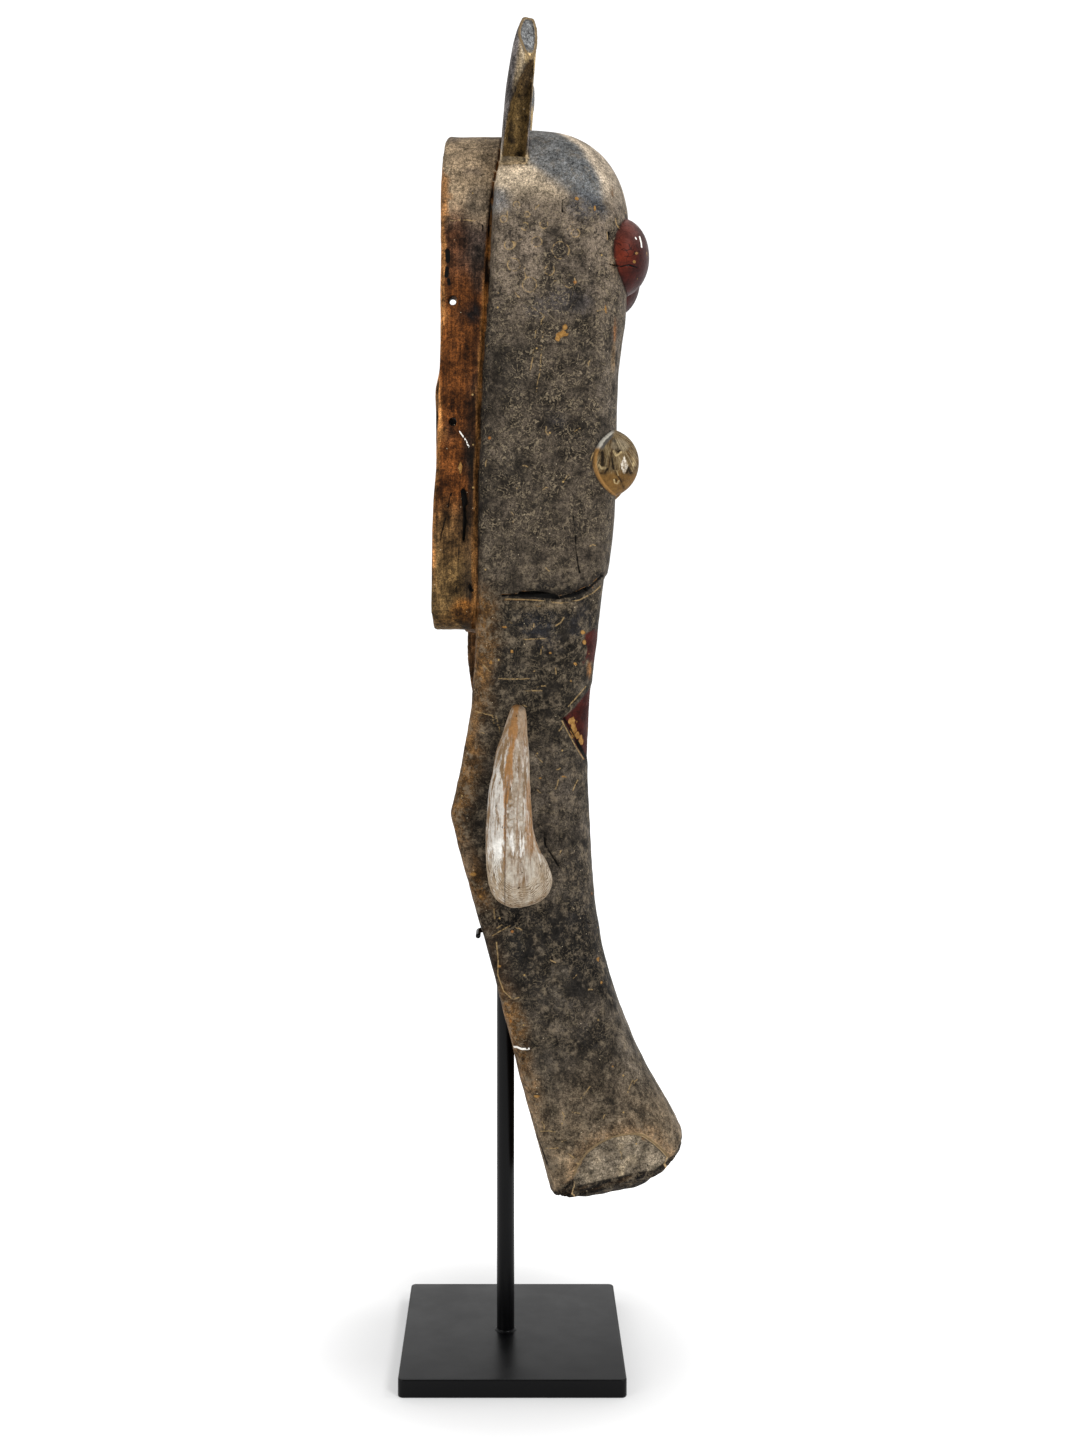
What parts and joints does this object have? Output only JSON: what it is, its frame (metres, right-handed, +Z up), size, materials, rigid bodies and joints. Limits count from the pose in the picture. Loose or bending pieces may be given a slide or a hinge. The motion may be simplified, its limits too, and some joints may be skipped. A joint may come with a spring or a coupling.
{
  "type": "carved elephant mask on a display stand",
  "caption": "Carved wooden elephant mask with a long trunk, tusks and upright ears, hollow at the back and held upright by a steel rod on a square plate.",
  "frame": {"origin": "middle of the base plate's underside", "axes": "+Z up, +X the way the mask's face looks, -Y towards the mask's right side"},
  "size_m": [0.2055, 0.1684, 0.966],
  "materials": {
    "carved_wood": "weathered matt paint over bare carved wood, worn at the edges",
    "stand_plate": "satin black powder coat",
    "stand_rod": "satin black paint"
  },
  "bodies": {
    "root": {"mask": "carved_wood", "base_plate": "stand_plate", "rod": "stand_rod", "cradle": "stand_rod"}
  },
  "joints": []
}
